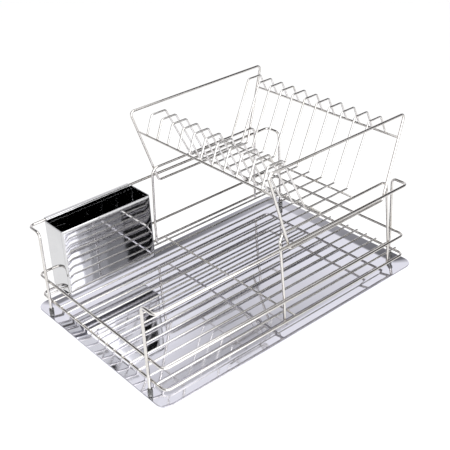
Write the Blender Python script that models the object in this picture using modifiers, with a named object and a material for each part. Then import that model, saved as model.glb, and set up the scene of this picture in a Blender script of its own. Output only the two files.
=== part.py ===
"""Two-tier wire dish rack: drip tray, lower rack, lift-off plate basket and hanging cutlery box.

Metres, +Z up. X runs along the rack, Y from its front to its back. The origin is on the table,
under the middle of the tray. Wires that are welded on the real rack keep a hair of daylight.
"""

import math

import bmesh
import bpy
from mathutils import Quaternion, Vector

# Wire diameters.
FRAME_WIRE = 0.0045
RING_WIRE = 0.0040
SUPPORT_WIRE = 0.0040
WING_WIRE = 0.0040
CROSS_RAIL_WIRE = 0.0035
GRID_WIRE = 0.0030
BASE_WIRE = 0.0030
DIVIDER_WIRE = 0.0030

# Daylight between two pieces that touch.
TOUCH_GAP = 0.0003

# Drip tray: a pressed sheet whose border slopes up from a flat floor to the rim, with a hem there.
TRAY_LENGTH = 0.5040
TRAY_WIDTH = 0.3290
TRAY_SHEET = 0.0008
TRAY_CORNER_RADIUS = 0.0180
TRAY_SLOPE = 0.0210
TRAY_FLOOR_RADIUS = 0.0090
TRAY_STEP = 0.0022
TRAY_HEM = 0.0020
TRAY_CORNER_STEPS = 6

# Where the rack stands on the tray: its middle, from the tray's.
RACK_SHIFT_X = -0.0060
RACK_SHIFT_Y = -0.0025

# Lower rack. Heights are above the tray's rim. Insets are from the tray's edges, with the rack in
# the tray's middle.
LEG_INSET = 0.0110
RAIL_INSET = 0.0095
RAIL_HEIGHT = 0.1446
RAIL_RETURN = 0.0290
FRAME_BEND = 0.0080
RING_INSET = 0.0080
RING_BEND = 0.0090
LOWER_RING_HEIGHT = 0.0229
MIDDLE_RING_HEIGHT = 0.0579
GRID_WIRE_COUNT = 15
GRID_MARGIN = 0.0165

# Clear caps on the legs.
CAP_WALL = 0.0012
CAP_FLOOR = 0.0015
CAP_HEIGHT = 0.0120
CAP_CHAMFER = 0.0006
CAP_SIDES = 16

# Cutlery box, folded from sheet and hooked over the back rail near its left end.
BOX_END_MARGIN = 0.0190
BOX_LENGTH = 0.1602
BOX_DEPTH = 0.0512
BOX_FLOOR_GAP = 0.0059
BOX_SHEET = 0.0008
BOX_CORNER_RADIUS = 0.0040
BOX_CORNER_STEPS = 4
BOX_RIM_DROP = 0.0023
BOX_HOOK_DROP = 0.0050

# Support frames, which carry the plate basket: they take the length that the box leaves.
SUPPORT_BOX_GAP = 0.0385
SUPPORT_END_MARGIN = 0.0331
SUPPORT_RISE = 0.0169
SUPPORT_BEND = 0.0120

# Plate basket. Drops and rises are from the axis of its two base wires.
WING_LOW_MARGIN = 0.0143
WING_TOP_OVERHANG = 0.0258
WING_LOW_DROP = 0.0303
WING_TOP_RISE = 0.1004
WING_LEAN = 0.0035
WING_BEND = 0.0060
CROSS_RAIL_RISE = 0.0647
DIVIDER_COUNT = 11
DIVIDER_MARGIN = 0.0167
DIVIDER_LOW_LENGTH = 0.0870
DIVIDER_SHOULDER_LENGTH = 0.0266
DIVIDER_SHOULDER_INSET = 0.0125
DIVIDER_RISE = 0.0957
DIVIDER_BEND = 0.0045
BASE_WIRE_INSET = 0.0112

BEND_STEPS = 3
WIRE_RESOLUTION = 2
MERGE_DISTANCE = 0.00001

# Places that follow from the sizes above.
tray_rim = TRAY_SHEET + TRAY_STEP
leg_x = TRAY_LENGTH / 2 - LEG_INSET
rail_y = TRAY_WIDTH / 2 - RAIL_INSET
leg_y = rail_y - RAIL_RETURN
rail_z = tray_rim + RAIL_HEIGHT
ring_x = leg_x - FRAME_WIRE / 2 - RING_WIRE / 2 - TOUCH_GAP
ring_y = TRAY_WIDTH / 2 - RING_INSET
lower_ring_z = tray_rim + LOWER_RING_HEIGHT
middle_ring_z = tray_rim + MIDDLE_RING_HEIGHT
grid_z = lower_ring_z + RING_WIRE / 2 + GRID_WIRE / 2 + TOUCH_GAP
box_left = -ring_x + BOX_END_MARGIN
box_right = box_left + BOX_LENGTH
box_low_z = grid_z + GRID_WIRE / 2 + BOX_FLOOR_GAP
support_left = box_right + SUPPORT_BOX_GAP
support_right = ring_x - SUPPORT_END_MARGIN
basket_x = (support_left + support_right) / 2
support_z = rail_z + SUPPORT_RISE
base_wire_z = support_z + SUPPORT_WIRE / 2 + BASE_WIRE / 2 + TOUCH_GAP
wing_low_z = base_wire_z - WING_LOW_DROP
wing_top_z = base_wire_z + WING_TOP_RISE
cross_rail_z = base_wire_z + CROSS_RAIL_RISE
divider_low_z = base_wire_z + BASE_WIRE / 2 + DIVIDER_WIRE / 2 + TOUCH_GAP


def wing_y(height):
    """Distance of a wing from the rack's middle: it touches the top rail and leans out above it."""
    touching = rail_y - FRAME_WIRE / 2 - WING_WIRE / 2 - TOUCH_GAP
    return touching + WING_LEAN * (height - rail_z) / (wing_top_z - rail_z)


def wing_arm_x(height):
    """Half length of a wing at a height, along its slanting arms."""
    share = (height - wing_low_z) / (wing_top_z - wing_low_z)
    low = (support_right - support_left) / 2 - WING_LOW_MARGIN
    return low + (WING_LOW_MARGIN + WING_TOP_OVERHANG) * share


def seat_level(x):
    """Height of a foot's underside, at its distance along the rack: it rests on the border's slope."""
    outermost = abs(x + RACK_SHIFT_X) + FRAME_WIRE / 2 + TOUCH_GAP + CAP_WALL
    inset = TRAY_LENGTH / 2 - outermost
    return tray_rim - TRAY_STEP * min(inset / TRAY_SLOPE, 1) + TOUCH_GAP


# The wings' low wires pass the support frames as the plate basket lifts off.
support_top_y = wing_y(wing_low_z) - WING_WIRE / 2 - SUPPORT_WIRE / 2 - TOUCH_GAP
support_low_y = ring_y - RING_WIRE / 2 - SUPPORT_WIRE / 2 - TOUCH_GAP


def clear_scene():
    for thing in list(bpy.data.objects):
        bpy.data.objects.remove(thing, do_unlink=True)


def new_collection(name, hidden=False):
    collection = bpy.data.collections.new(name)
    bpy.context.scene.collection.children.link(collection)
    collection.hide_render = hidden
    return collection


def finish(name, colour, metallic, roughness):
    material = bpy.data.materials.new(name)
    material.use_nodes = True
    shader = material.node_tree.nodes["Principled BSDF"]
    shader.inputs["Base Color"].default_value = (*colour, 1)
    shader.inputs["Metallic"].default_value = metallic
    shader.inputs["Roughness"].default_value = roughness
    return material


def mover(name, place):
    """An empty on a lift's axis: the pieces that lift together hang on it."""
    empty = bpy.data.objects.new(name, None)
    empty.location = place
    parts.objects.link(empty)
    return empty


def add_piece(name, data, origin, carrier, material):
    piece = bpy.data.objects.new(name, data)
    parts.objects.link(piece)
    if not data.materials:
        data.materials.append(material)
    piece.parent = carrier
    piece.location = Vector(origin) - (carrier.location if carrier else Vector())
    return piece


def bent_path(corners, bend_radius, closed=False):
    """The axis of a bent wire: its corners rounded to arcs of the bend radius."""
    corners = [Vector(corner) for corner in corners]
    points = []
    last = len(corners) - 1
    for index, corner in enumerate(corners):
        if not closed and index in (0, last):
            points.append(corner)
            continue
        before = (corners[index - 1] - corner).normalized()
        after = (corners[(index + 1) % len(corners)] - corner).normalized()
        half_angle = before.angle(after) / 2
        centre = corner + (before + after).normalized() * (bend_radius / math.sin(half_angle))
        arm = corner + before * (bend_radius / math.tan(half_angle)) - centre
        axis = before.cross(after)
        for step in range(BEND_STEPS + 1):
            turn = (math.pi - 2 * half_angle) * step / BEND_STEPS
            points.append(centre + Quaternion(-axis, turn) @ arm)
    return points


def wire_curve(name, points, diameter, closed=False):
    curve = bpy.data.curves.new(name, "CURVE")
    curve.dimensions = "3D"
    curve.bevel_depth = diameter / 2
    curve.bevel_resolution = WIRE_RESOLUTION
    curve.use_fill_caps = not closed
    spline = curve.splines.new("POLY")
    spline.points.add(len(points) - 1)
    for control, point in zip(spline.points, points):
        control.co = (*point, 1)
    spline.use_cyclic_u = closed
    spline.use_smooth = True
    return curve


def add_wire(name, corners, diameter, carrier, material, bend_radius=0, closed=False):
    """A bent wire with its origin at its first corner."""
    origin = Vector(corners[0])
    local = [Vector(corner) - origin for corner in corners]
    points = bent_path(local, bend_radius, closed) if bend_radius else local
    curve = wire_curve(name, points, diameter, closed)
    return add_piece(name, curve, origin, carrier, material)


def add_plate(sheet, length, width, height, corner_radius):
    """One flat face with rounded corners, centred over the origin at a height."""
    corners = bmesh.ops.create_grid(sheet, x_segments=1, y_segments=1, size=1 / 2)["verts"]
    bmesh.ops.scale(sheet, vec=(length, width, 1), verts=corners)
    bmesh.ops.translate(sheet, vec=(0, 0, height), verts=corners)
    bmesh.ops.bevel(
        sheet, geom=corners, offset=corner_radius, offset_type="OFFSET",
        segments=TRAY_CORNER_STEPS, profile=1 / 2, affect="VERTICES",
    )
    return largest_face(sheet)


def largest_face(sheet):
    return max(sheet.faces, key=lambda face: face.calc_area())


def add_drip_tray(material):
    """A rim with rounded corners, bridged to a smaller and lower floor, with its edge turned down."""
    sheet = bmesh.new()
    opening = add_plate(sheet, TRAY_LENGTH, TRAY_WIDTH, tray_rim, TRAY_CORNER_RADIUS)
    rim = list(opening.edges)
    bmesh.ops.delete(sheet, geom=[opening], context="FACES_ONLY")
    both_slopes = 2 * TRAY_SLOPE
    floor = add_plate(sheet, TRAY_LENGTH - both_slopes, TRAY_WIDTH - both_slopes, TRAY_SHEET, TRAY_FLOOR_RADIUS)
    bmesh.ops.bridge_loops(sheet, edges=rim + list(floor.edges))
    rim = [edge for edge in sheet.edges if edge.is_boundary]
    hem = bmesh.ops.extrude_edge_only(sheet, edges=rim)["geom"]
    hem_edge = [part for part in hem if isinstance(part, bmesh.types.BMVert)]
    bmesh.ops.translate(sheet, vec=(0, 0, -TRAY_HEM), verts=hem_edge)
    bmesh.ops.recalc_face_normals(sheet, faces=sheet.faces)
    if largest_face(sheet).normal.z < 0:
        bmesh.ops.reverse_faces(sheet, faces=sheet.faces)
    mesh = bpy.data.meshes.new("drip_tray")
    sheet.to_mesh(mesh)
    sheet.free()
    tray = add_piece("drip_tray", mesh, (0, 0, 0), None, material)
    wall = tray.modifiers.new("sheet", "SOLIDIFY")
    wall.thickness = TRAY_SHEET
    wall.offset = -1
    wall.use_even_offset = True


def add_side_frame(name, side, carrier, material):
    """One wire: up a leg, out to the rail, along it, back in and down the other leg."""
    left_end, right_end = (seat_level(x) + CAP_FLOOR + TOUCH_GAP for x in (-leg_x, leg_x))
    corners = [
        (-leg_x, side * leg_y, left_end),
        (-leg_x, side * leg_y, rail_z),
        (-leg_x, side * rail_y, rail_z),
        (leg_x, side * rail_y, rail_z),
        (leg_x, side * leg_y, rail_z),
        (leg_x, side * leg_y, right_end),
    ]
    add_wire(name, corners, FRAME_WIRE, carrier, material, FRAME_BEND)


def cap_mesh():
    """Profile of a leg's cap, from the bore's floor up, over the lip and down the outside."""
    bore = FRAME_WIRE / 2 + TOUCH_GAP
    outside = bore + CAP_WALL
    profile = [
        (0, CAP_FLOOR),
        (bore, CAP_FLOOR),
        (bore, CAP_HEIGHT),
        (outside - CAP_CHAMFER, CAP_HEIGHT),
        (outside, CAP_HEIGHT - CAP_CHAMFER),
        (outside, CAP_CHAMFER),
        (outside - CAP_CHAMFER, 0),
        (0, 0),
    ]
    mesh = bpy.data.meshes.new("leg_cap")
    edges = [(index, index + 1) for index in range(len(profile) - 1)]
    mesh.from_pydata([(radius, 0, height) for radius, height in profile], edges, [])
    return mesh


def add_foot(name, mesh, place, carrier, material):
    foot = add_piece(name, mesh, place, carrier, material)
    turn = foot.modifiers.new("turn", "SCREW")
    turn.steps = CAP_SIDES
    turn.render_steps = CAP_SIDES
    turn.use_merge_vertices = True
    turn.merge_threshold = MERGE_DISTANCE
    return foot


def add_ring(name, height, carrier, material):
    corners = [(x, y, height) for x, y in ((-ring_x, -ring_y), (ring_x, -ring_y), (ring_x, ring_y), (-ring_x, ring_y))]
    add_wire(name, corners, RING_WIRE, carrier, material, RING_BEND, closed=True)


def add_base_grid(carrier, material):
    """Long wires on top of the lower ring, and one cross wire under them at the middle."""
    half_length = ring_x + RING_WIRE / 2
    curve = wire_curve("base_long_wire", [(-half_length, 0, 0), (half_length, 0, 0)], GRID_WIRE)
    first = -(ring_y - GRID_MARGIN)
    pitch = -2 * first / (GRID_WIRE_COUNT - 1)
    for index in range(GRID_WIRE_COUNT):
        place = (0, first + index * pitch, grid_z)
        add_piece(f"base_long_wire_{index + 1:02d}", curve, place, carrier, material)
    end_y = ring_y - RING_WIRE / 2 - TOUCH_GAP
    cross_z = grid_z - GRID_WIRE - TOUCH_GAP
    add_wire("base_centre_wire", [(0, -end_y, cross_z), (0, end_y, cross_z)], GRID_WIRE, carrier, material)


def add_support_frame(name, side, carrier, material):
    """An upside-down U whose posts stand inside the two rings and lean in above them."""
    low_z = lower_ring_z - RING_WIRE / 2
    corners = [
        (support_left, side * support_low_y, low_z),
        (support_left, side * support_low_y, middle_ring_z),
        (support_left, side * support_top_y, support_z),
        (support_right, side * support_top_y, support_z),
        (support_right, side * support_low_y, middle_ring_z),
        (support_right, side * support_low_y, low_z),
    ]
    add_wire(name, corners, SUPPORT_WIRE, carrier, material, SUPPORT_BEND)


def add_wing(name, side, carrier, material):
    """A closed four-sided loop, wider at the top, in a plane that leans out."""
    low, top = wing_arm_x(wing_low_z), wing_arm_x(wing_top_z)
    low_y, top_y = side * wing_y(wing_low_z), side * wing_y(wing_top_z)
    corners = [
        (basket_x - low, low_y, wing_low_z),
        (basket_x + low, low_y, wing_low_z),
        (basket_x + top, top_y, wing_top_z),
        (basket_x - top, top_y, wing_top_z),
    ]
    add_wire(name, corners, WING_WIRE, carrier, material, WING_BEND, closed=True)


def add_cross_wires(carrier, wire_material, thin_material):
    """Rails between the wings' arms, and the two base wires that rest on the support frames."""
    rail_x = wing_arm_x(cross_rail_z)
    rail_end = wing_y(cross_rail_z) - WING_WIRE / 2 - TOUCH_GAP
    base_end = support_top_y + SUPPORT_WIRE / 2
    for word, side in (("left", -1), ("right", 1)):
        x = basket_x + side * rail_x
        ends = [(x, -rail_end, cross_rail_z), (x, rail_end, cross_rail_z)]
        add_wire(f"{word}_cross_rail", ends, CROSS_RAIL_WIRE, carrier, wire_material)
        x = basket_x + side * (DIVIDER_LOW_LENGTH / 2 - BASE_WIRE_INSET)
        ends = [(x, -base_end, base_wire_z), (x, base_end, base_wire_z)]
        add_wire(f"{word}_basket_base_wire", ends, BASE_WIRE, carrier, thin_material)


def divider_corners():
    """One divider across the basket: up from a cross rail, down onto the base wires and back up."""
    rail = Vector((wing_arm_x(cross_rail_z), 0, cross_rail_z - base_wire_z))
    shoulder = Vector((rail.x - DIVIDER_SHOULDER_INSET, 0, DIVIDER_RISE))
    outward = (shoulder - rail).normalized()
    end = rail + outward * (CROSS_RAIL_WIRE / 2 + TOUCH_GAP)
    half = [
        end,
        shoulder,
        Vector((shoulder.x - DIVIDER_SHOULDER_LENGTH, 0, DIVIDER_RISE)),
        Vector((DIVIDER_LOW_LENGTH / 2, 0, divider_low_z - base_wire_z)),
    ]
    return half + [Vector((-point.x, point.y, point.z)) for point in reversed(half)]


def add_plate_dividers(carrier, material):
    curve = wire_curve("plate_divider", bent_path(divider_corners(), DIVIDER_BEND), DIVIDER_WIRE)
    first = -(support_top_y - DIVIDER_MARGIN)
    pitch = -2 * first / (DIVIDER_COUNT - 1)
    for index in range(DIVIDER_COUNT):
        place = (basket_x, first + index * pitch, base_wire_z)
        add_piece(f"plate_divider_{index + 1:02d}", curve, place, carrier, material)


def add_cutlery_box(carrier, material):
    """An open-topped box of sheet whose back wall folds over the back rail."""
    back_y = rail_y - FRAME_WIRE / 2 - TOUCH_GAP
    lip_top = rail_z + FRAME_WIRE / 2 + TOUCH_GAP + BOX_SHEET
    rim_z = lip_top - BOX_RIM_DROP
    height = rim_z - box_low_z
    shell = bmesh.new()
    bmesh.ops.create_cube(shell, size=1)
    bmesh.ops.scale(shell, vec=(BOX_LENGTH, BOX_DEPTH, height), verts=shell.verts)
    upright = [edge for edge in shell.edges if abs(edge.verts[0].co.z - edge.verts[1].co.z) > height / 2]
    bmesh.ops.bevel(
        shell, geom=upright, offset=BOX_CORNER_RADIUS, offset_type="OFFSET",
        segments=BOX_CORNER_STEPS, profile=1 / 2, affect="EDGES",
    )
    lid = max(shell.faces, key=lambda face: face.calc_center_median().z)
    bmesh.ops.delete(shell, geom=[lid], context="FACES_ONLY")
    mesh = bpy.data.meshes.new("cutlery_box")
    shell.to_mesh(mesh)
    shell.free()
    centre = Vector(((box_left + box_right) / 2, back_y - BOX_DEPTH / 2, rim_z - height / 2))
    box = add_piece("cutlery_box", mesh, centre, carrier, material)
    wall = box.modifiers.new("sheet", "SOLIDIFY")
    wall.thickness = BOX_SHEET
    wall.offset = -1
    wall.use_even_offset = True
    hook = add_box_hook(centre, back_y, rim_z, lip_top, carrier)
    join = box.modifiers.new("hook", "BOOLEAN")
    join.operation = "UNION"
    join.object = hook


def add_box_hook(centre, back_y, rim_z, lip_top, carrier):
    """The folded lip that joins the back wall: a flat outline of its section, as long as the flat wall."""
    behind = rail_y + FRAME_WIRE / 2 + TOUCH_GAP
    front = back_y - BOX_SHEET * 3 / 4
    low = rim_z - BOX_CORNER_RADIUS
    drop = lip_top - BOX_HOOK_DROP
    outline = [
        (front, low),
        (back_y - BOX_SHEET / 4, low),
        (back_y - BOX_SHEET / 4, lip_top - BOX_SHEET),
        (behind, lip_top - BOX_SHEET),
        (behind, drop),
        (behind + BOX_SHEET, drop),
        (behind + BOX_SHEET, lip_top),
        (front, lip_top),
    ]
    half_length = BOX_LENGTH / 2 - BOX_CORNER_RADIUS
    section = bmesh.new()
    corners = [section.verts.new((-half_length, y - centre.y, z - centre.z)) for y, z in outline]
    face = section.faces.new(corners)
    swept = bmesh.ops.extrude_face_region(section, geom=[face])["geom"]
    ends = [part for part in swept if isinstance(part, bmesh.types.BMVert)]
    bmesh.ops.translate(section, vec=(2 * half_length, 0, 0), verts=ends)
    bmesh.ops.recalc_face_normals(section, faces=section.faces)
    mesh = bpy.data.meshes.new("box_hook_guide")
    section.to_mesh(mesh)
    section.free()
    hook = bpy.data.objects.new("box_hook_guide", mesh)
    cutters.objects.link(hook)
    hook.parent = carrier
    hook.location = centre - carrier.location
    hook.hide_render = True
    hook.display_type = "WIRE"
    return hook


clear_scene()
parts = new_collection("two_tier_dish_rack")
cutters = new_collection("joining_shapes", hidden=True)

frame_wire = finish("polished_frame_wire", (0.62, 0.61, 0.60), 1, 0.12)
thin_wire = finish("polished_thin_wire", (0.60, 0.59, 0.58), 1, 0.15)
tray_steel = finish("mirror_tray_steel", (0.70, 0.69, 0.74), 1, 0.06)
box_steel = finish("mirror_box_steel", (0.74, 0.74, 0.75), 1, 0.06)
cap_pvc = finish("clear_cap_pvc", (0.55, 0.55, 0.55), 0, 0.20)

rack_lift = mover("lower_rack_lift", (0, 0, tray_rim))
basket_lift = mover("plate_basket_lift", (basket_x, 0, base_wire_z))
box_lift = mover("cutlery_box_lift", ((box_left + box_right) / 2, rail_y, rail_z))

add_drip_tray(tray_steel)

for word, side in (("front", -1), ("back", 1)):
    add_side_frame(f"{word}_side_frame", side, rack_lift, frame_wire)
    add_support_frame(f"{word}_support_frame", side, rack_lift, frame_wire)
    add_wing(f"{word}_wing", side, basket_lift, frame_wire)

cap = cap_mesh()
for depth_word, y in (("front", -leg_y), ("back", leg_y)):
    for side_word, x in (("left", -leg_x), ("right", leg_x)):
        add_foot(f"{depth_word}_{side_word}_foot", cap, (x, y, seat_level(x)), rack_lift, cap_pvc)

add_ring("lower_ring", lower_ring_z, rack_lift, frame_wire)
add_ring("middle_ring", middle_ring_z, rack_lift, frame_wire)
add_base_grid(rack_lift, thin_wire)
add_cross_wires(basket_lift, frame_wire, thin_wire)
add_plate_dividers(basket_lift, thin_wire)
add_cutlery_box(box_lift, box_steel)

for lift in (rack_lift, basket_lift, box_lift):
    lift.location += Vector((RACK_SHIFT_X, RACK_SHIFT_Y, 0))
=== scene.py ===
import math

import bpy
import numpy as np
from mathutils import Matrix, Vector


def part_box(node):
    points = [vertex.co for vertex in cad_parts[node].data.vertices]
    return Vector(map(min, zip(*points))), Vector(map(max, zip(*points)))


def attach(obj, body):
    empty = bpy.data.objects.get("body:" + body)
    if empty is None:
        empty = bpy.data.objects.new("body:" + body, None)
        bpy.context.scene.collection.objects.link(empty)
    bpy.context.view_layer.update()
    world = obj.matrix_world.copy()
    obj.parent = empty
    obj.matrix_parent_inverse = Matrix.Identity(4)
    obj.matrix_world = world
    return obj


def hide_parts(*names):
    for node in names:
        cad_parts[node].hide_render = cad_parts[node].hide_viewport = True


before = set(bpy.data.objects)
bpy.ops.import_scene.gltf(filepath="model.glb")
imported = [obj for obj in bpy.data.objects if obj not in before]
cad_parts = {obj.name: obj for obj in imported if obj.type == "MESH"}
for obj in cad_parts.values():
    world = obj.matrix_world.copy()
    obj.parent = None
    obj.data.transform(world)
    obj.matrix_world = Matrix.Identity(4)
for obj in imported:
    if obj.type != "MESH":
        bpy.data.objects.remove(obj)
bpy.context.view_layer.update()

# Two-tier wire dish rack, dressed for the studio. Settings are in millimetres, meshes in metres.
mm = 0.001
tubeReference = np.array([1.0, 1.0, 1.0]) / math.sqrt(3)    # never along a wire, so no tube's frame flips


# Frame readings

def boxOf(node):                     # a CAD node's lowest and highest corner, in millimetres
    low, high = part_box(node)
    return np.array(low) / mm, np.array(high) / mm


def middleOf(node):
    low, high = boxOf(node)
    return (low + high) / 2


# Mesh building

def gridFaces(rows, columns, wrapRows, wrapColumns):
    # Quads between neighbouring rows and columns of a grid of points, as whole index arrays. They face
    # outwards where the columns run anticlockwise, seen from the last row.
    rowSteps = rows if wrapRows else rows - 1
    columnSteps = columns if wrapColumns else columns - 1
    row, column = np.meshgrid(np.arange(rowSteps), np.arange(columnSteps), indexing="ij")
    nextRow, nextColumn = (row + 1) % rows, (column + 1) % columns
    quads = np.stack([row * columns + column, row * columns + nextColumn,
                      nextRow * columns + nextColumn, nextRow * columns + column], axis=-1)
    return quads.reshape(-1, 4), row.reshape(-1), column.reshape(-1)


def fanFaces(pole, ring, flipped):
    # Triangles from one pole point to a closed ring of points.
    following = np.roll(ring, -1)
    fan = np.stack([np.full_like(ring, pole), ring, following], axis=-1)
    return fan[:, [0, 2, 1]] if flipped else fan


def makeObject(name, points, faces, material, uvs=None, sharpAngle=50):
    mesh = bpy.data.meshes.new(name)
    mesh.from_pydata((points * mm).tolist(), [], faces)
    if uvs is not None:
        layer = mesh.uv_layers.new(name="alongWire")
        layer.data.foreach_set("uv", uvs.astype(np.float32).reshape(-1))
    mesh.shade_smooth()
    mesh.set_sharp_from_angle(angle=math.radians(sharpAngle))
    mesh.materials.append(material)
    piece = bpy.data.objects.new(name, mesh)
    bpy.context.scene.collection.objects.link(piece)
    return piece


def closedSurface(name, grid, material, startPole=None, endPole=None, wrapRows=False, uvs=None,
                  sharpAngle=50):
    # A grid of points, wrapped along its columns and closed by a pole point at each end.
    rows, columns, _ = grid.shape
    quads, row, column = gridFaces(rows, columns, wrapRows, True)
    points = grid.reshape(-1, 3)
    faces = quads.tolist()
    corners = None
    if uvs is not None:              # u runs along the rows, v goes once round the columns
        u = np.append(uvs, uvs[-1] + np.linalg.norm(grid[0, 0] - grid[-1, 0]))
        v0, v1 = column / columns, (column + 1) / columns
        u0, u1 = u[row], u[row + 1]
        corners = np.stack([u0, v0, u0, v1, u1, v1, u1, v0], axis=-1).reshape(-1, 2)
    ends = []
    if startPole is not None:
        ends.append((startPole, np.arange(columns), True))
    if endPole is not None:
        ends.append((endPole, (rows - 1) * columns + np.arange(columns), False))
    for pole, ring, flipped in ends:
        points = np.vstack([points, pole])
        faces += fanFaces(len(points) - 1, ring, flipped).tolist()
        if corners is not None:
            corners = np.vstack([corners, np.zeros((3 * columns, 2))])
    return makeObject(name, points, faces, material, corners, sharpAngle)


def roundedPath(corners, bendRadius, closed=False, bendSteps=9):
    # A wire's axis: at each corner an arc of the bend radius, turned from one straight run to the next.
    corners = np.array(corners, float)
    count = len(corners)
    pieces = []
    for index in range(count):
        corner = corners[index]
        if not closed and index in (0, count - 1):
            pieces.append(corner[None])
            continue
        before = corners[index - 1] - corner
        after = corners[(index + 1) % count] - corner
        before, after = before / np.linalg.norm(before), after / np.linalg.norm(after)
        halfAngle = math.acos(np.clip(before @ after, -1, 1)) / 2
        bisector = (before + after) / np.linalg.norm(before + after)
        centre = corner + bisector * bendRadius / math.sin(halfAngle)
        start = corner + before * bendRadius / math.tan(halfAngle) - centre
        end = corner + after * bendRadius / math.tan(halfAngle) - centre
        turn = math.pi - 2 * halfAngle
        share = np.linspace(0, 1, bendSteps + 1)[:, None]
        arc = np.sin((1 - share) * turn) * start + np.sin(share * turn) * end
        pieces.append(centre + arc / math.sin(turn))
    return np.vstack(pieces)


def sweepFrame(path, closed):
    # At each point of a path: its direction, and two directions square to it and to each other.
    ahead = np.roll(path, -1, axis=0) - path
    behind = path - np.roll(path, 1, axis=0)
    if not closed:
        ahead[-1], behind[0] = behind[-1], ahead[0]
    ahead /= np.linalg.norm(ahead, axis=1, keepdims=True)
    behind /= np.linalg.norm(behind, axis=1, keepdims=True)
    tangent = ahead + behind
    tangent /= np.linalg.norm(tangent, axis=1, keepdims=True)
    side = np.cross(tangent, tubeReference)
    side /= np.linalg.norm(side, axis=1, keepdims=True)
    return tangent, side, np.cross(tangent, side)


def addTube(name, path, diameter, material, closed=False, sides=20, endRounding=0.5, endRings=4):
    # A circle carried along the path: point + radius * (cos a * side + sin a * up). At an open end
    # the radius closes along a quarter circle, as a cropped and tumbled wire does.
    radius = diameter / 2
    radii = np.full(len(path), radius)
    if not closed:
        angle = np.linspace(0, math.pi / 2, endRings)
        shrink = radius - endRounding * (1 - np.sin(angle))
        first = (path[1] - path[0]) / np.linalg.norm(path[1] - path[0])
        last = (path[-2] - path[-1]) / np.linalg.norm(path[-2] - path[-1])
        inwards = (endRounding * (1 - np.cos(angle)))[:, None]
        path = np.vstack([path[0] + inwards * first, path[1:-1], (path[-1] + inwards * last)[::-1]])
        radii = np.concatenate([shrink, radii[1:-1], shrink[::-1]])
    tangent, side, up = sweepFrame(path, closed)
    turn = np.arange(sides) * 2 * math.pi / sides
    circle = np.cos(turn)[None, :, None] * side[:, None] + np.sin(turn)[None, :, None] * up[:, None]
    grid = path[:, None] + radii[:, None, None] * circle
    lengths = np.concatenate([[0], np.cumsum(np.linalg.norm(np.diff(path, axis=0), axis=1))])
    poles = (None, None) if closed else (path[0], path[-1])
    return closedSurface(name, grid, material, *poles, wrapRows=closed, uvs=lengths * mm)


def straightRun(start, end, step=30):    # a straight wire's axis, divided every so many millimetres
    count = max(2, int(np.linalg.norm(np.array(end) - np.array(start)) / step) + 1)
    return np.linspace(start, end, count)


def roundedRectangle(halfLength, halfWidth, radius, cornerSteps, edgeSteps):
    # Outline from above, anticlockwise: quarter circles of the radius joined by divided straight edges.
    centres = np.array([[1, 1], [-1, 1], [-1, -1], [1, -1]]) * [halfLength - radius, halfWidth - radius]
    outline = []
    for index, centre in enumerate(centres):
        angle = math.pi / 2 * (index + np.linspace(0, 1, cornerSteps + 1))
        arc = centre + radius * np.stack([np.cos(angle), np.sin(angle)], axis=-1)
        lastWay = np.array([math.cos(angle[-1]), math.sin(angle[-1])])
        following = centres[(index + 1) % len(centres)] + radius * lastWay
        share = np.linspace(0, 1, edgeSteps + 2)[1:-1, None]
        outline += [arc, arc[-1] + (following - arc[-1]) * share]
    return np.vstack(outline)


def filletedProfile(points, steps=5):
    # A section through a sheet: each point is (a, b, radius), and its corner becomes an arc.
    corners = np.array([[a, b, 0] for a, b, _ in points], float)
    profile = [corners[0][None]]
    for index in range(1, len(points) - 1):
        radius = points[index][2]
        if radius:
            profile.append(roundedPath(corners[index - 1:index + 2], radius, bendSteps=steps)[1:-1])
        else:
            profile.append(corners[index][None])
    profile.append(corners[-1][None])
    return np.vstack(profile)[:, :2]


# Materials

def hexColour(text):                 # sRGB hex, by the sRGB curve, to linear colour with a full alpha
    channels = np.array([int(text[index:index + 2], 16) for index in (1, 3, 5)]) / 255
    linear = np.where(channels <= 0.04045, channels / 12.92, ((channels + 0.055) / 1.055) ** 2.4)
    return (*linear.tolist(), 1.0)


def addNode(tree, kind, settings=None, links=None):
    # Adds one node: settings are sockets or properties by name, and links feed sockets from outputs.
    node = tree.nodes.new(kind)
    for name, value in (settings or {}).items():
        if isinstance(name, int) or name in node.inputs:
            node.inputs[name].default_value = value
        else:
            setattr(node, name, value)
    for name, output in (links or {}).items():
        tree.links.new(output, node.inputs[name])
    return node


def newMaterial(name, baseHex, metallic, roughness):
    material = bpy.data.materials.new(name)
    material.use_nodes = True
    tree = material.node_tree
    shader = tree.nodes["Principled BSDF"]
    shader.inputs["Base Color"].default_value = hexColour(baseHex)
    shader.inputs["Metallic"].default_value = metallic
    shader.inputs["Roughness"].default_value = roughness
    return material, tree, shader


def perMetre(millimetres):           # texture scale for a pattern that repeats every so many millimetres
    return 1 / (millimetres * mm)


plating = {"filmRange": (0.5, 0.75), "patchDetail": 3, "pitDetail": 2, "lineDetail": 4, "lineDepth": 0.02}


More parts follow.
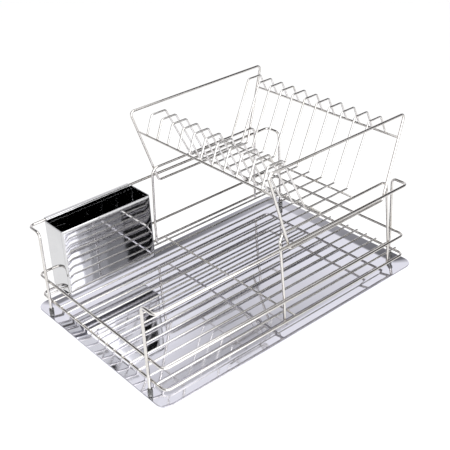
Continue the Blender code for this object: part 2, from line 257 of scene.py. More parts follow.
def chromedWire(settings):
    # Bright chrome plate over drawn steel wire: a clear but slightly soft mirror, with a faintly warm
    # film in places, and hair lines along the wire that the drawing die left under the plate. The
    # lines are drawn coarser than real ones, so that they show.
    material, tree, shader = newMaterial(settings["name"], settings["clean"], 1.0, settings["gloss"][0])
    place = addNode(tree, "ShaderNodeTexCoord")
    patches = addNode(tree, "ShaderNodeTexNoise",
                      {"Scale": perMetre(settings["patch"]), "Detail": plating["patchDetail"]},
                      {"Vector": place.outputs["Object"]})
    film = addNode(tree, "ShaderNodeMapRange",
                   {"From Min": plating["filmRange"][0], "From Max": plating["filmRange"][1]},
                   {"Value": patches.outputs["Fac"]})
    tint = addNode(tree, "ShaderNodeMix",
                   {"data_type": "RGBA", 6: hexColour(settings["clean"]), 7: hexColour(settings["film"])},
                   {0: film.outputs["Result"]})
    tree.links.new(tint.outputs[2], shader.inputs["Base Color"])
    grain = addNode(tree, "ShaderNodeTexNoise",
                    {"Scale": perMetre(settings["pit"]), "Detail": plating["pitDetail"]},
                    {"Vector": place.outputs["Object"]})
    gloss = addNode(tree, "ShaderNodeMapRange",
                    {"To Min": settings["gloss"][0], "To Max": settings["gloss"][1]},
                    {"Value": grain.outputs["Fac"]})
    tree.links.new(gloss.outputs["Result"], shader.inputs["Roughness"])
    stretch = addNode(tree, "ShaderNodeMapping",
                      {"Scale": (perMetre(settings["lineLength"]), settings["lineCount"], 1.0)},
                      {"Vector": place.outputs["UV"]})
    lines = addNode(tree, "ShaderNodeTexNoise", {"Scale": 1.0, "Detail": plating["lineDetail"]},
                    {"Vector": stretch.outputs["Vector"]})
    bump = addNode(tree, "ShaderNodeBump",
                   {"Strength": settings["lineStrength"], "Distance": plating["lineDepth"] * mm},
                   {"Height": lines.outputs["Fac"]})
    tree.links.new(bump.outputs["Normal"], shader.inputs["Normal"])
    return material


polish = {"hazeRange": (0.35, 0.75), "hazeDetail": 5, "hazeSwirl": 1.5, "lineDetail": 3,
          "lineStrength": 0.25, "rippleDetail": 1}


def mirrorSheet(settings):
    # Stainless sheet polished to a mirror: rolling lines that only soften the picture in it, drawn
    # coarser than real ones, wiped haze in broad patches, and a slow ripple left by the press or
    # the fold.
    material, tree, shader = newMaterial(settings["name"], settings["steel"], 1.0, settings["gloss"][0])
    place = addNode(tree, "ShaderNodeTexCoord")
    haze = addNode(tree, "ShaderNodeTexNoise",
                   {"Scale": perMetre(settings["haze"]), "Detail": polish["hazeDetail"],
                    "Distortion": polish["hazeSwirl"]},
                   {"Vector": place.outputs["Object"]})
    gloss = addNode(tree, "ShaderNodeMapRange",
                    {"From Min": polish["hazeRange"][0], "From Max": polish["hazeRange"][1],
                     "To Min": settings["gloss"][0], "To Max": settings["gloss"][1]},
                    {"Value": haze.outputs["Fac"]})
    tree.links.new(gloss.outputs["Result"], shader.inputs["Roughness"])
    tint = addNode(tree, "ShaderNodeMix",
                   {"data_type": "RGBA", 6: hexColour(settings["steel"]), 7: hexColour(settings["dull"])},
                   {0: haze.outputs["Fac"]})
    tree.links.new(tint.outputs[2], shader.inputs["Base Color"])
    stretch = addNode(tree, "ShaderNodeMapping",
                      {"Scale": [perMetre(spacing) for spacing in settings["rolling"]]},
                      {"Vector": place.outputs["Object"]})
    lines = addNode(tree, "ShaderNodeTexNoise", {"Scale": 1.0, "Detail": polish["lineDetail"]},
                    {"Vector": stretch.outputs["Vector"]})
    fine = addNode(tree, "ShaderNodeBump",
                   {"Strength": polish["lineStrength"], "Distance": settings["lineDepth"] * mm},
                   {"Height": lines.outputs["Fac"]})
    ripple = addNode(tree, "ShaderNodeTexNoise",
                     {"Scale": perMetre(settings["ripple"]), "Detail": polish["rippleDetail"]},
                     {"Vector": place.outputs["Object"]})
    broad = addNode(tree, "ShaderNodeBump", {"Strength": 1.0, "Distance": settings["rippleDepth"] * mm},
                    {"Height": ripple.outputs["Fac"], "Normal": fine.outputs["Normal"]})
    tree.links.new(broad.outputs["Normal"], shader.inputs["Normal"])
    return material


def clearPvc(settings):
    # Dip-moulded clear PVC, faintly smoky: you see the leg's end through it, magnified, with a soft
    # sheen that dust dulls in patches and the fine orange peel of a dipped skin.
    material, tree, shader = newMaterial(settings["name"], settings["smoke"], 0.0, settings["gloss"][0])
    shader.inputs["Transmission Weight"].default_value = settings["clearness"]
    shader.inputs["IOR"].default_value = settings["refraction"]
    place = addNode(tree, "ShaderNodeTexCoord")
    dust = addNode(tree, "ShaderNodeTexNoise",
                   {"Scale": perMetre(settings["dust"]), "Detail": settings["dustDetail"]},
                   {"Vector": place.outputs["Object"]})
    tint = addNode(tree, "ShaderNodeMix",
                   {"data_type": "RGBA", 6: hexColour(settings["smoke"]), 7: hexColour(settings["haze"])},
                   {0: dust.outputs["Fac"]})
    tree.links.new(tint.outputs[2], shader.inputs["Base Color"])
    gloss = addNode(tree, "ShaderNodeMapRange",
                    {"To Min": settings["gloss"][0], "To Max": settings["gloss"][1]},
                    {"Value": dust.outputs["Fac"]})
    tree.links.new(gloss.outputs["Result"], shader.inputs["Roughness"])
    peel = addNode(tree, "ShaderNodeTexNoise",
                   {"Scale": perMetre(settings["peel"]), "Detail": settings["peelDetail"]},
                   {"Vector": place.outputs["Object"]})
    bump = addNode(tree, "ShaderNodeBump",
                   {"Strength": settings["peelStrength"], "Distance": settings["peelDepth"] * mm},
                   {"Height": peel.outputs["Fac"]})
    tree.links.new(bump.outputs["Normal"], shader.inputs["Normal"])
    return material


# Lengths are in millimetres: the size of a film patch and a pit, the length of a hair line, and the
# spacing of the rolling lines along X, Y and Z. lineCount is how many hair lines go round a wire.
wireFinish = {"name": "chromePlatedDrawnWire", "clean": "#D8D5D2", "film": "#C9C5BF", "patch": 40,
              "pit": 1.5, "gloss": (0.08, 0.18), "lineLength": 40, "lineCount": 40, "lineStrength": 0.1}
thinWireFinish = {"name": "chromePlatedThinWire", "clean": "#DAD8D6", "film": "#CCC9C4", "patch": 30,
                  "pit": 1.2, "gloss": (0.1, 0.2), "lineLength": 33, "lineCount": 30,
                  "lineStrength": 0.1}
weldFinish = {"name": "platedSpotWeld", "clean": "#B9B5AE", "film": "#958E82", "patch": 3, "pit": 0.6,
              "gloss": (0.15, 0.35), "lineLength": 10, "lineCount": 1, "lineStrength": 0.0}
trayFinish = {"name": "mirrorStainlessTray", "steel": "#E6E6EE", "dull": "#DEDEE6", "haze": 55,
              "gloss": (0.02, 0.07), "rolling": (33, 0.7, 0.7), "lineDepth": 0.002, "ripple": 70,
              "rippleDepth": 0.05}
boxFinish = {"name": "mirrorStainlessBox", "steel": "#D4D4D5", "dull": "#CBCBCD", "haze": 40,
             "gloss": (0.02, 0.06), "rolling": (0.7, 0.7, 33), "lineDepth": 0.002, "ripple": 45,
             "rippleDepth": 0.03}
capFinish = {"name": "dipMouldedClearPvc", "smoke": "#C9C9C6", "haze": "#A9A9A6", "clearness": 0.9,
             "refraction": 1.53, "dust": 5, "dustDetail": 4, "gloss": (0.05, 0.2), "peel": 1.2,
             "peelDetail": 1, "peelStrength": 0.4, "peelDepth": 0.03}

frameWire = chromedWire(wireFinish)
thinWire = chromedWire(thinWireFinish)
weldMetal = chromedWire(weldFinish)
traySteel = mirrorSheet(trayFinish)
boxSteel = mirrorSheet(boxFinish)
capPvc = clearPvc(capFinish)
print("materials ready")


def dress(piece, body, slot, *nodes):
    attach(piece, body)
    if nodes:
        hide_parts(*nodes)


# Lower rack

sideFrame = {"diameter": 4.5, "bend": 8.0}
ringWire = {"diameter": 4.0, "bend": 9.0}
supportWire = {"diameter": 4.0, "bend": 12.0}
gridWire = {"diameter": 3.0, "count": 15}
weldSize = {"flat": 1.4, "thin": 0.75, "rows": 5, "columns": 10}
# Foot, rib and lip are points of the cap's outline: how far in from its side, and how far up from
# its underside, up from the rib's middle, or down from the top.
legCap = {"sides": 32, "bore": 2.35, "floor": 1.5, "play": 0.3,
          "foot": ((1.6, 0), (0.8, 0.1), (0.24, 0.24), (0.15, 0.8)),
          "rib": ((0.15, -0.7), (0, -0.3), (0, 0.3), (0.15, 0.7)), "ribs": (0.35, 0.5, 0.65),
          "lip": ((0.15, 1.6), (0, 1.2), (0, 0.5), (0.2, 0.12), (0.55, 0)),
          "mouth": 0.2, "floorEdge": 0.4}
frameSides = 24                      # round the thicker wires; addTube's own count is for thin ones
sides = {"front": -1, "back": 1}
lowerWelds = []


def outerY(node, side, radius):      # Y of a wire's axis on the side where the wire is furthest out
    low, high = boxOf(node)
    return high[1] - radius if side > 0 else low[1] + radius


def addSideFrame(word, side):
    # One wire: up the left leg from its cap, out to the rail, along it, back in and down the right
    # leg, with each corner an arc.
    node, radius = f"{word}_side_frame", sideFrame["diameter"] / 2
    low, high = boxOf(node)
    leftX, rightX, railZ = low[0] + radius, high[0] - radius, high[2] - radius
    railY = outerY(node, side, radius)
    legY = middleOf(f"{word}_left_foot")[1]
    legEnd = legCap["floor"] + legCap["play"]
    leftEnd, rightEnd = (boxOf(f"{word}_{end}_foot")[0][2] + legEnd for end in ("left", "right"))
    corners = [(leftX, legY, leftEnd), (leftX, legY, railZ), (leftX, railY, railZ),
               (rightX, railY, railZ), (rightX, legY, railZ), (rightX, legY, rightEnd)]
    path = roundedPath(corners, sideFrame["bend"])
    piece = addTube(f"{word}SideFrame", path, sideFrame["diameter"], frameWire, sides=frameSides)
    dress(piece, "lower_rack", "polished_frame_wire", node)
    return leftX, rightX, legY


def addRing(word):
    # A closed rectangle at the ring's middle height, half a wire inside its box, with arcs at its
    # corners.
    low, high = boxOf(f"{word}_ring")
    radius = ringWire["diameter"] / 2
    (x0, y0), (x1, y1), z = low[:2] + radius, high[:2] - radius, (low[2] + high[2]) / 2
    corners = [(x0, y0, z), (x1, y0, z), (x1, y1, z), (x0, y1, z)]
    path = roundedPath(corners, ringWire["bend"], closed=True)
    piece = addTube(f"{word}Ring", path, ringWire["diameter"], frameWire, closed=True, sides=frameSides)
    dress(piece, "lower_rack", "polished_frame_wire", f"{word}_ring")
    return (x0, x1), {"front": y0, "back": y1}, z


def addSupportFrame(word, side, ringZ):
    # An upside-down U: up a post to the middle ring, leaning in from there to the top, along it and
    # down the other post.
    node, radius = f"{word}_support_frame", supportWire["diameter"] / 2
    low, high = boxOf(node)
    left, right = low[0] + radius, high[0] - radius
    lowY = outerY(node, side, radius)
    topY = low[1] + radius if side > 0 else high[1] - radius
    topZ = high[2] - radius
    corners = [(left, lowY, low[2]), (left, lowY, ringZ), (left, topY, topZ),
               (right, topY, topZ), (right, lowY, ringZ), (right, lowY, low[2])]
    path = roundedPath(corners, supportWire["bend"])
    piece = addTube(f"{word}SupportFrame", path, supportWire["diameter"], frameWire, sides=frameSides)
    dress(piece, "lower_rack", "polished_frame_wire", node)
    return left, right, lowY


ringX, ringY, lowerRingZ = addRing("lower")
middleRingZ = addRing("middle")[2]
for word, side in sides.items():
    *legX, legY = addSideFrame(word, side)
    left, right, postY = addSupportFrame(word, side, middleRingZ)
    for ringZ in (lowerRingZ, middleRingZ):
        for leg, ring in zip(legX, ringX):
            lowerWelds.append(((leg + ring) / 2, legY, ringZ, "x"))
        for x in (left, right):
            lowerWelds.append((x, (postY + ringY[word]) / 2, ringZ, "y"))

# The base's long wires, each welded to the ring's ends and to the wire under their middle.
centreX, _, centreZ = middleOf("base_centre_wire")
for index in range(1, gridWire["count"] + 1):
    node = f"base_long_wire_{index:02d}"
    low, high = boxOf(node)
    y, z = middleOf(node)[1:]
    path = straightRun((low[0], y, z), (high[0], y, z))
    piece = addTube(f"baseLongWire{index:02d}", path, gridWire["diameter"], thinWire)
    dress(piece, "lower_rack", "polished_thin_wire", node)
    weldZ = low[2]
    lowerWelds += [(x, y, weldZ, "z") for x in (*ringX, centreX)]

low, high = boxOf("base_centre_wire")
path = straightRun((centreX, low[1], centreZ), (centreX, high[1], centreZ))
piece = addTube("baseCentreWire", path, gridWire["diameter"], thinWire)
dress(piece, "lower_rack", "polished_thin_wire", "base_centre_wire")
lowerWelds += [(centreX, y, centreZ, "y") for y in (low[1], high[1])]
print("lower rack wires done")


def addWelds(name, places, body):
    # Spot welds: one small rounded lens at each crossing, thin along the direction that joins the wires.
    flat, thin = weldSize["flat"], weldSize["thin"]
    shape = {"x": (thin, flat, flat), "y": (flat, thin, flat), "z": (flat, flat, thin)}
    centres = np.array([place[:3] for place in places])
    radii = np.array([shape[place[3]] for place in places])
    rows, columns = weldSize["rows"], weldSize["columns"]
    latitude = np.linspace(-math.pi / 2, math.pi / 2, rows + 2)[1:-1, None]
    longitude = np.arange(columns)[None] * 2 * math.pi / columns
    unit = np.stack([np.cos(latitude) * np.cos(longitude), np.cos(latitude) * np.sin(longitude),
                     np.sin(latitude) * np.ones_like(longitude)], axis=-1).reshape(-1, 3)
    unit = np.vstack([unit, [0, 0, -1], [0, 0, 1]])
    quads = gridFaces(rows, columns, False, True)[0]
    lowRing, topRing = np.arange(columns), (rows - 1) * columns + np.arange(columns)
    fans = np.vstack([fanFaces(len(unit) - 2, lowRing, True), fanFaces(len(unit) - 1, topRing, False)])
    points = (centres[:, None] + radii[:, None] * unit[None]).reshape(-1, 3)
    shift = (np.arange(len(places)) * len(unit))[:, None, None]
    faces = (quads[None] + shift).reshape(-1, 4).tolist()
    faces += (fans[None] + shift).reshape(-1, 3).tolist()
    piece = makeObject(name, points, faces, weldMetal)
    dress(piece, body, "polished_thin_wire")


addWelds("lowerRackWelds", lowerWelds, "lower_rack")


# Leg caps

def addCap(node):
    # A profile turned about the leg: from the underside up the outside, with grip ribs and a bead at
    # the lip, over the lip and down the bore to its floor.
    low, high = boxOf(node)
    centre = (low + high) / 2
    radius, height = (high[0] - low[0]) / 2, high[2] - low[2]
    bore, floor, mouth, edge = (legCap[word] for word in ("bore", "floor", "mouth", "floorEdge"))
    profile = [(radius - inset, z) for inset, z in legCap["foot"]]
    for share in legCap["ribs"]:
        profile += [(radius - inset, height * share + z) for inset, z in legCap["rib"]]
    profile += [(radius - inset, height - depth) for inset, depth in legCap["lip"]]
    profile += [(bore + mouth, height), (bore, height - mouth)]
    profile += [(bore, floor + edge), (bore - edge, floor)]
    profile = np.array(profile)
    turn = np.arange(legCap["sides"]) * 2 * math.pi / legCap["sides"]
    grid = np.stack([centre[0] + profile[:, :1] * np.cos(turn),
                     centre[1] + profile[:, :1] * np.sin(turn),
                     low[2] + profile[:, 1:] * np.ones_like(turn)], axis=-1)
    words = node.split("_")
    name = words[0] + "".join(word.capitalize() for word in words[1:-1]) + "Cap"
    start = (centre[0], centre[1], low[2])
    end = (centre[0], centre[1], low[2] + floor)
    piece = closedSurface(name, grid, capPvc, start, end, sharpAngle=60)
    dress(piece, "lower_rack", "clear_cap_pvc", node)


for depthWord in ("front", "back"):
    for sideWord in ("left", "right"):
        addCap(f"{depthWord}_{sideWord}_foot")
print("leg caps done")


# Plate basket

wingWire = {"diameter": 4.0, "bend": 6.0, "lowMargin": 14.3, "overhang": 25.8}
crossRail = {"diameter": 3.5}
# A divider's low run, the length of its flat shoulders, how far these stay inside the rails, and
# the gap to the rail that its ends are welded to.
dividerWire = {"diameter": 3.0, "bend": 4.5, "count": 11, "lowLength": 87.0, "shoulderLength": 26.6,
               "shoulderInset": 12.5, "gap": 0.3}
basketWelds = []
supportLow, supportHigh = boxOf("front_support_frame")
basketX = (supportLow[0] + supportHigh[0]) / 2
supportHalf = (supportHigh[0] - supportLow[0] - supportWire["diameter"]) / 2
wingLowHalf, wingTopHalf = supportHalf - wingWire["lowMargin"], supportHalf + wingWire["overhang"]

# Wings: closed loops with a short low side and a long top side.
for word, side in sides.items():
    low, high = boxOf(f"{word}_wing")
    radius = wingWire["diameter"] / 2
    lowY = low[1] + radius if side > 0 else high[1] - radius
    topY = outerY(f"{word}_wing", side, radius)
    lowZ, topZ = low[2] + radius, high[2] - radius
    corners = [(basketX - wingLowHalf, lowY, lowZ), (basketX + wingLowHalf, lowY, lowZ),
               (basketX + wingTopHalf, topY, topZ), (basketX - wingTopHalf, topY, topZ)]
    path = roundedPath(corners, wingWire["bend"], closed=True)
    piece = addTube(f"{word}Wing", path, wingWire["diameter"], frameWire, closed=True, sides=frameSides)
    dress(piece, "plate_basket", "polished_frame_wire", f"{word}_wing")

railX = {}
for word in ("left", "right"):
    node = f"{word}_cross_rail"
    low, high = boxOf(node)
    x, _, z = middleOf(node)
    railX[word] = x
    railZ = z
    path = straightRun((x, low[1], z), (x, high[1], z))
    piece = addTube(f"{word}CrossRail", path, crossRail["diameter"], frameWire)
    dress(piece, "plate_basket", "polished_frame_wire", node)
    basketWelds += [(x, y, z, "y") for y in (low[1], high[1])]

baseX = {}
for word in ("left", "right"):
    node = f"{word}_basket_base_wire"
    low, high = boxOf(node)
    x, _, baseZ = middleOf(node)
    baseX[word] = x
    path = straightRun((x, low[1], baseZ), (x, high[1], baseZ))
    piece = addTube(f"{word}BasketBaseWire", path, dividerWire["diameter"], thinWire)
    dress(piece, "plate_basket", "polished_thin_wire", node)

# Dividers: from the right rail up to the shoulder, in along it, down to the base wires, and the
# same mirrored. They are alike at both ends, about the basket's middle.
dividerRadius = dividerWire["diameter"] / 2
half = railX["right"] - basketX
shoulder = half - dividerWire["shoulderInset"]
for index in range(1, dividerWire["count"] + 1):
    node = f"plate_divider_{index:02d}"
    low, high = boxOf(node)
    y = middleOf(node)[1]
    lowZ, topZ = low[2] + dividerRadius, high[2] - dividerRadius
    slope = np.array([shoulder - half, topZ - railZ])
    slope /= np.linalg.norm(slope)
    start = np.array([half, railZ]) + slope * (crossRail["diameter"] / 2 + dividerWire["gap"])
    halfPath = [start, (shoulder, topZ), (shoulder - dividerWire["shoulderLength"], topZ),
                (dividerWire["lowLength"] / 2, lowZ)]
    corners = [(basketX + x, y, z) for x, z in halfPath]
    corners += [(basketX - x, y, z) for x, z in reversed(halfPath)]
    piece = addTube(f"plateDivider{index:02d}", roundedPath(corners, dividerWire["bend"]),
                    dividerWire["diameter"], thinWire)
    dress(piece, "plate_basket", "polished_thin_wire", node)
    basketWelds += [(x, y, low[2], "z") for x in baseX.values()]
    basketWelds += [(basketX + mirror * start[0], y, start[1], "z") for mirror in (-1, 1)]

addWelds("plateBasketWelds", basketWelds, "plate_basket")
print("plate basket done")


# Drip tray

sheetAngle = 35                      # degrees: a sharper edge than this stays crisp on the sheet pieces
# Insets count in from the rim. The flat rows keep the slope straight between the rim and the crease.
# The wave starts past the crease and grows to its full height.
tray = {"sheet": 0.8, "slope": 21, "hem": 2, "rimRadius": 0.6, "hemRadius": 0.15, "creaseRadius": 40,
        "flatRun": 20, "flatRows": (17, 1.2), "floorRows": 8, "middleGap": 3,
        "cornerInsets": (0, 21), "cornerRadii": (18, 9), "cornerShare": 0.8, "cornerSteps": 12,
        "edgeSteps": 24, "wave": 0.05, "waveLengths": (31, 23), "wavePhases": (1.3, 0.4),
        "waveStart": 8, "waveGrowth": 8}


def addTray():
    # Insets of a rounded rectangle carried through the tray's section: out along the underside, up
    # inside the hem and its outside to the rim, down the sloping border, and in over the floor.
    low, high = boxOf("drip_tray")
    halfLength, halfWidth = (high[0] - low[0]) / 2, (high[1] - low[1]) / 2
    top, sheet, crease = high[2], tray["sheet"], tray["creaseRadius"]
    floorEdge, hemLow = tray["slope"], top - tray["hem"]
    underRim = top - sheet - (top - sheet) * sheet / floorEdge
    flats = [(inset, top - (top - sheet) * inset / floorEdge, 0) for inset in tray["flatRows"]]
    flatEnd, middle = floorEdge + tray["flatRun"], halfWidth - tray["middleGap"]
    upper = filletedProfile([(flatEnd, sheet, 0), (floorEdge, sheet, crease), *flats,
                             (0, top, tray["rimRadius"]), (0, hemLow, 0)])
    lower = filletedProfile([(sheet, hemLow, 0), (sheet, underRim, tray["hemRadius"]),
                             (floorEdge, 0, crease), (flatEnd, 0, 0)])
    inner = np.linspace(flatEnd, middle, tray["floorRows"] + 1)[1:]
    floor = np.column_stack([inner, np.full(len(inner), sheet)])
    profile = np.vstack([[(middle, 0)], lower[::-1], upper[::-1], floor])
    rows = []
    for inset, height in profile:
        radius = np.interp(inset, tray["cornerInsets"], tray["cornerRadii"])
        radius = min(radius, tray["cornerShare"] * (halfWidth - inset))
        outline = roundedRectangle(halfLength - inset, halfWidth - inset, radius,
                                   tray["cornerSteps"], tray["edgeSteps"])
        rows.append(np.column_stack([outline, np.full(len(outline), height)]))
    grid = np.array(rows)
    x, y = grid[..., 0], grid[..., 1]
    onTop = np.arange(len(profile)) > len(lower)
    grown = (profile[:, 0] - floorEdge - tray["waveStart"]) / tray["waveGrowth"]
    onFloor = (np.clip(grown, 0, 1) * onTop)[:, None]
    (lengthX, lengthY), (phaseX, phaseY) = tray["waveLengths"], tray["wavePhases"]
    wave = 1 + np.sin(x / lengthX + phaseX) * np.sin(y / lengthY + phaseY)
    grid[..., 2] += onFloor * tray["wave"] * wave
    piece = closedSurface("dripTray", grid, traySteel, (0, 0, 0), (0, 0, sheet + tray["wave"]),
                          sharpAngle=sheetAngle)
    dress(piece, "drip_tray", "mirror_tray_steel", "drip_tray")


addTray()
print("drip tray done")


# Cutlery box

# Base, rim and inside are points of the wall's section: how far in from its outside, and how far
# up from the underside or, at the rim, how far down from it. The rim is folded in to a 7 mm hem.
cutleryBox = {"sheet": 0.8, "corner": 4.0, "leastCorner": 1.2, "depth": 51.2, "rimDrop": 2.3,
              "base": ((10, 0), (4, 0), (1.5, 0), (0.45, 0.45), (0, 1.5)),
              "rim": ((0, 5), (0, 0.8), (0.12, 0.3), (0.4, 0), (1.2, 0), (1.48, 0.3), (1.6, 0.8),
                      (1.6, 6.5), (1.4, 7), (0.8, 7.1)),
              "inside": ((0.8, 2.2), (1.2, 1.2), (2.3, 0.8), (10, 0.8)),
              "wallMargins": (6, 9), "wallRows": 12, "cornerSteps": 8, "edgeSteps": 22,
              "hookRoot": 6, "hookDrop": 5.0, "hookBend": 1.2, "hookSteps": 24}
# The walls' wave: its height, how it grows from the base, the rim and the corners, and its lengths.
boxWave = {"height": 0.03, "start": 3, "growth": 15, "longGrowth": 20, "shortGrowth": 12,
           "wallDepth": 3, "longLengths": (14, 19), "longPhase": 0.8, "longDip": 0.6,
           "shortLengths": (8, 26), "shortDip": 0.8}


def addCutleryBox():
    # A rounded rectangle carried up the outside, over a hemmed rim and down the inside. The flat
    # walls wave by a few hundredths of a millimetre, and not at all at the corners.
    low, high = boxOf("cutlery_box")
    sheet = cutleryBox["sheet"]
    centre = np.array([(low[0] + high[0]) / 2, low[1] + cutleryBox["depth"] / 2])
    halfLength, halfDepth = (high[0] - low[0]) / 2, cutleryBox["depth"] / 2
    bottom, rim = low[2], high[2] - cutleryBox["rimDrop"]
    lowMargin, topMargin = cutleryBox["wallMargins"]
    climb = np.linspace(bottom + lowMargin, rim - topMargin, cutleryBox["wallRows"])
    profile = [(inset, bottom + height) for inset, height in cutleryBox["base"]]
    profile += [(0, height) for height in climb]
    profile += [(inset, rim - drop) for inset, drop in cutleryBox["rim"]]
    profile += [(sheet, height) for height in climb[::-1]]
    profile += [(inset, bottom + height) for inset, height in cutleryBox["inside"]]
    rows = []
    for inset, height in profile:
        radius = max(cutleryBox["corner"] - inset, cutleryBox["leastCorner"])
        outline = roundedRectangle(halfLength - inset, halfDepth - inset, radius,
                                   cutleryBox["cornerSteps"], cutleryBox["edgeSteps"])
        rows.append(np.column_stack([outline, np.full(len(outline), height)]))
    grid = np.array(rows)
    x, y, z = grid[..., 0], grid[..., 1], grid[..., 2]
    growth, wallDepth = boxWave["growth"], boxWave["wallDepth"]
    lift = np.clip((z - bottom - boxWave["start"]) / growth, 0, 1) * np.clip((rim - z) / growth, 0, 1)
    lift *= boxWave["height"]
    onLong = np.clip((halfLength - np.abs(x)) / boxWave["longGrowth"], 0, 1)
    onLong = onLong * (np.abs(y) > halfDepth - wallDepth)
    onShort = np.clip((halfDepth - np.abs(y)) / boxWave["shortGrowth"], 0, 1)
    onShort = onShort * (np.abs(x) > halfLength - wallDepth)
    alongX, upLong = boxWave["longLengths"]
    alongY, upShort = boxWave["shortLengths"]
    longWave = np.sin(x / alongX + boxWave["longPhase"]) * np.cos(z / upLong) - boxWave["longDip"]
    grid[..., 1] += np.sign(y) * onLong * lift * longWave
    shortWave = np.sin(y / alongY + z / upShort) - boxWave["shortDip"]
    grid[..., 0] += np.sign(x) * onShort * lift * shortWave
    grid[..., :2] += centre
    piece = closedSurface("cutleryBox", grid, boxSteel, (*centre, bottom), (*centre, bottom + sheet),
                          sharpAngle=sheetAngle)
    dress(piece, "cutlery_box", "mirror_box_steel", "cutlery_box")


def addBoxHook():
    # The lip: a thin strip's section carried along the fold, up inside the back wall, over the rail
    # and down behind it.
    low, high = boxOf("cutlery_box")
    sheet, steps = cutleryBox["sheet"], cutleryBox["hookSteps"]
    wallY, hookY = low[1] + cutleryBox["depth"] - sheet / 2, high[1] - sheet / 2
    rim, topZ = high[2] - cutleryBox["rimDrop"], high[2] - sheet / 2
    fold = [(0, wallY, rim - cutleryBox["hookRoot"]), (0, wallY, topZ), (0, hookY, topZ),
            (0, hookY, high[2] - cutleryBox["hookDrop"])]
    path = roundedPath(fold, cutleryBox["hookBend"])
    halfLength = (high[0] - low[0]) / 2 - cutleryBox["corner"]
    middleX = (low[0] + high[0]) / 2
    tangent = np.gradient(path, axis=0)
    tangent /= np.linalg.norm(tangent, axis=1, keepdims=True)
    normal = np.cross(tangent, [1.0, 0, 0])
    along = np.linspace(-1, 1, steps)
    across = np.concatenate([along, along[::-1]]) * halfLength
    offset = np.repeat([-sheet / 2, sheet / 2], steps)
    grid = path[:, None] + offset[None, :, None] * normal[:, None]
    grid[..., 0] = middleX + across[None]
    points = grid.reshape(-1, 3)
    rows, columns = len(path), len(across)
    faces = gridFaces(rows, columns, False, True)[0].tolist()
    step = np.arange(steps - 1)
    for row, flipped in ((0, True), (rows - 1, False)):
        first, last = row * columns + step, (row + 1) * columns - 1 - step
        strip = np.stack([first, first + 1, last - 1, last], axis=-1)
        faces += (strip[:, ::-1] if flipped else strip).tolist()
    piece = makeObject("cutleryBoxHook", points, faces, boxSteel, sharpAngle=sheetAngle)
    dress(piece, "cutlery_box", "mirror_box_steel")


addCutleryBox()
addBoxHook()
print("cutlery box done")


# Studio

studio = {"floorSize": 6.0, "floorDrop": 0.4, "floorColour": "#8C8C8C", "floorRoughness": 0.9,
          "floorGlow": 0.9}             # size in metres, drop below the tray in millimetres


def addFloor():
    # Plain white floor: most of its white is its own, so that the rack's shadow stays a faint one.
    mesh = bpy.data.meshes.new("studioFloor")
    half, z = studio["floorSize"] / 2, -studio["floorDrop"] * mm
    corners = [(-half, -half, z), (half, -half, z), (half, half, z), (-half, half, z)]
    mesh.from_pydata(corners, [], [(0, 1, 2, 3)])
    material, tree, shader = newMaterial("whiteStudioFloor", studio["floorColour"], 0.0,
                                         studio["floorRoughness"])
    rays = addNode(tree, "ShaderNodeLightPath")
    seen = addNode(tree, "ShaderNodeMath", {"operation": "MAXIMUM"},
                   {0: rays.outputs["Is Camera Ray"], 1: rays.outputs["Is Glossy Ray"]})
    seen = addNode(tree, "ShaderNodeMath", {"operation": "MAXIMUM"},
                   {0: seen.outputs[0], 1: rays.outputs["Is Transmission Ray"]})
    glow = addNode(tree, "ShaderNodeMath", {"operation": "MULTIPLY", 1: studio["floorGlow"]},
                   {0: seen.outputs[0]})
    shader.inputs["Emission Color"].default_value = (1, 1, 1, 1)
    tree.links.new(glow.outputs[0], shader.inputs["Emission Strength"])
    mesh.materials.append(material)
    floor = bpy.data.objects.new("studioFloor", mesh)
    bpy.context.scene.collection.objects.link(floor)


# Low walls by compass direction, in degrees from +X towards +Y, with the sine of the elevation where
# each begins to fade into the dark above it. The zenith is where the pale diffuser begins and is full.
room = {
    "walls": [(-180, "#B8B8BA", 0.40), (-127, "#E6E6E6", 0.45), (-85, "#A0A0A2", 0.35),
              (-62, "#B0B0B4", 0.30), (-20, "#B0B0B4", 0.30), (2, "#8C8C92", 0.50),
              (18, "#FBFAFF", 0.54), (50, "#FDFCFF", 0.54), (56, "#FDFCFF", 0.60),
              (85, "#FBFAFF", 0.56), (102, "#C8C8CC", 0.46), (122, "#B4B4B8", 0.42),
              (145, "#C4C4C6", 0.40), (180, "#B8B8BA", 0.40)],
    "fade": 0.14, "zenith": (0.90, 0.95), "darkColour": "#161618", "zenithColour": "#E8E8E8",
}


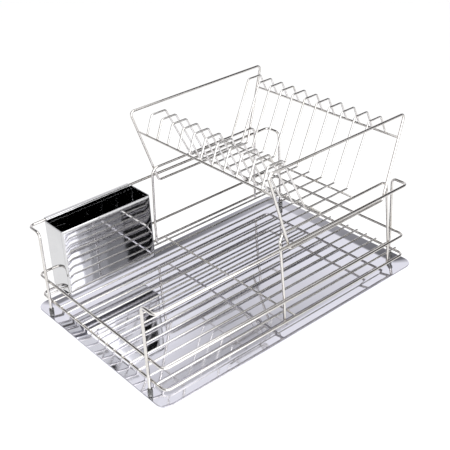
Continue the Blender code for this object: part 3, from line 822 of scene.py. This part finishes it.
def setWorld():
    # White to the camera. In reflections it is a studio: pale low walls behind and to the left, grey
    # ones at the front right, a dark gap above the walls and a pale diffuser overhead.
    world = bpy.data.worlds.new("studioRoom")
    bpy.context.scene.world = world
    world.use_nodes = True
    tree = world.node_tree
    place = addNode(tree, "ShaderNodeTexCoord")
    split = addNode(tree, "ShaderNodeSeparateXYZ", {}, {"Vector": place.outputs["Generated"]})
    compass = addNode(tree, "ShaderNodeMath", {"operation": "ARCTAN2"},
                      {0: split.outputs["Y"], 1: split.outputs["X"]})
    turn = addNode(tree, "ShaderNodeMapRange", {"From Min": -math.pi, "From Max": math.pi},
                   {"Value": compass.outputs[0]})
    shades = [hexColour(shade) for _, shade, _ in room["walls"]]
    heights = [(height, height, height, 1) for _, _, height in room["walls"]]
    ramps = []
    for colours in (shades, heights):
        ramp = addNode(tree, "ShaderNodeValToRGB", {}, {"Fac": turn.outputs["Result"]})
        elements = ramp.color_ramp.elements
        for angle, _, _ in room["walls"][2:]:
            elements.new((angle + 180) / 360)
        for element, (angle, _, _), colour in zip(elements, room["walls"], colours):
            element.position = (angle + 180) / 360
            element.color = colour
        ramps.append(ramp)
    above = addNode(tree, "ShaderNodeMath", {"operation": "SUBTRACT"},
                    {0: split.outputs["Z"], 1: ramps[1].outputs[0]})
    faded = addNode(tree, "ShaderNodeMapRange", {"From Max": room["fade"]}, {"Value": above.outputs[0]})
    overhead = addNode(tree, "ShaderNodeMapRange",
                       {"From Min": room["zenith"][0], "From Max": room["zenith"][1]},
                       {"Value": split.outputs["Z"]})
    rays = addNode(tree, "ShaderNodeLightPath")
    colour = ramps[0].outputs["Color"]
    layers = ((faded.outputs["Result"], room["darkColour"]),
              (overhead.outputs["Result"], room["zenithColour"]),
              (rays.outputs["Is Camera Ray"], "#FFFFFF"))
    for share, shade in layers:
        layer = addNode(tree, "ShaderNodeMix", {"data_type": "RGBA", 7: hexColour(shade)},
                        {0: share, 6: colour})
        colour = layer.outputs[2]
    tree.links.new(colour, tree.nodes["Background"].inputs["Color"])


def addCard(name, place, target, size, brightness):
    # A lit card: an area lamp whose face shows the given brightness, where 1 is white.
    lamp = bpy.data.lights.new(name, "AREA")
    lamp.shape = "RECTANGLE"
    lamp.size, lamp.size_y = size
    lamp.energy = brightness * math.pi * size[0] * size[1]
    holder = bpy.data.objects.new(name, lamp)
    bpy.context.scene.collection.objects.link(holder)
    holder.location = place
    holder.rotation_euler = (Vector(target) - Vector(place)).to_track_quat("-Z", "Y").to_euler()
    holder.visible_camera = False


# Two rows of cards stand one above the other before the rack, and one card hangs over its left half.
# Each has its first and last place along X, the heights or depths that it spans, in metres, and its
# brightness. Dark gaps are left between some of them, because the photograph's mirrors show them.
cards = {
    "frontY": -0.56, "overheadZ": 0.75,
    "front": {"whiteCard": (-0.756, 0.159, 0.0, 0.45, 2.6),
              "upperWhiteCard": (-0.756, 0.234, 0.45, 0.75, 2.4),
              "upperGreyCard": (0.234, 0.314, 0.45, 0.90, 1.3),
              "upperRightCard": (0.361, 0.60, 0.45, 0.90, 1.2),
              "upperMiddleCard": (0.314, 0.361, 0.45, 0.61, 1.2),
              "paleCard": (0.159, 0.185, 0.0, 0.45, 0.95), "greyCard": (0.185, 0.235, 0.0, 0.45, 0.5),
              "darkCard": (0.235, 0.289, 0.0, 0.45, 0.33)},
    "overhead": (-0.6, 0.28, -0.75, 0.25, 1.4),
    "flags": ((0.289, 0.36, 0.45), (0.36, 1.5, 0.12)), "flagColour": "#0C0C0C", "flagRoughness": 1.0,
}


def addCards():
    # Their edges are what the box's front shows as stripes from white to dark, and where the front
    # rail turns from white to black. The flag is two black boards side by
    # side, a high one and a low one, that hide the floor beyond them.
    y = cards["frontY"]
    for name, (left, right, low, high, brightness) in cards["front"].items():
        centre = ((left + right) / 2, y, (low + high) / 2)
        addCard(name, centre, (centre[0], 0, centre[2]), (right - left, high - low), brightness)
    left, right, near, far, brightness = cards["overhead"]
    centre = ((left + right) / 2, (near + far) / 2, cards["overheadZ"])
    addCard("overheadCard", centre, (centre[0], centre[1], 0), (right - left, far - near), brightness)
    points, faces = [], []
    for left, right, high in cards["flags"]:
        faces.append(range(len(points), len(points) + 4))
        points += [(left, y, 0), (right, y, 0), (right, y, high), (left, y, high)]
    mesh = bpy.data.meshes.new("blackFlag")
    mesh.from_pydata(points, [], faces)
    cloth = newMaterial("blackFlagCloth", cards["flagColour"], 0.0, cards["flagRoughness"])[0]
    mesh.materials.append(cloth)
    flag = bpy.data.objects.new("blackFlag", mesh)
    bpy.context.scene.collection.objects.link(flag)
    flag.visible_camera = False
    flag.visible_shadow = False
    flag.visible_diffuse = False


def addCamera():
    # The photograph's view: from the left front corner, above the rack, with a slight roll.
    view = {"place": (-0.74902, -0.91947, 0.79859), "ahead": (0.54132, 0.71262, -0.44625),
            "right": (0.77457, -0.62913, -0.06508), "lens": 71.78, "sensor": 36,
            "shift": (0.0698, -0.1235), "nearest": 0.01}
    camera = bpy.data.cameras.new("photoView")
    camera.lens = view["lens"]
    camera.sensor_width = view["sensor"]
    camera.shift_x, camera.shift_y = view["shift"]
    camera.clip_start = view["nearest"]
    holder = bpy.data.objects.new("photoView", camera)
    bpy.context.scene.collection.objects.link(holder)
    ahead = Vector(view["ahead"]).normalized()
    right = Vector(view["right"])
    right = (right - right.dot(ahead) * ahead).normalized()
    up = right.cross(ahead)
    holder.matrix_world = Matrix((
        (right.x, up.x, -ahead.x, view["place"][0]), (right.y, up.y, -ahead.y, view["place"][1]),
        (right.z, up.z, -ahead.z, view["place"][2]), (0, 0, 0, 1)))
    bpy.context.scene.camera = holder


addFloor()
setWorld()
addCards()
addCamera()
bpy.context.scene.view_settings.view_transform = "Standard"
print("studio ready")
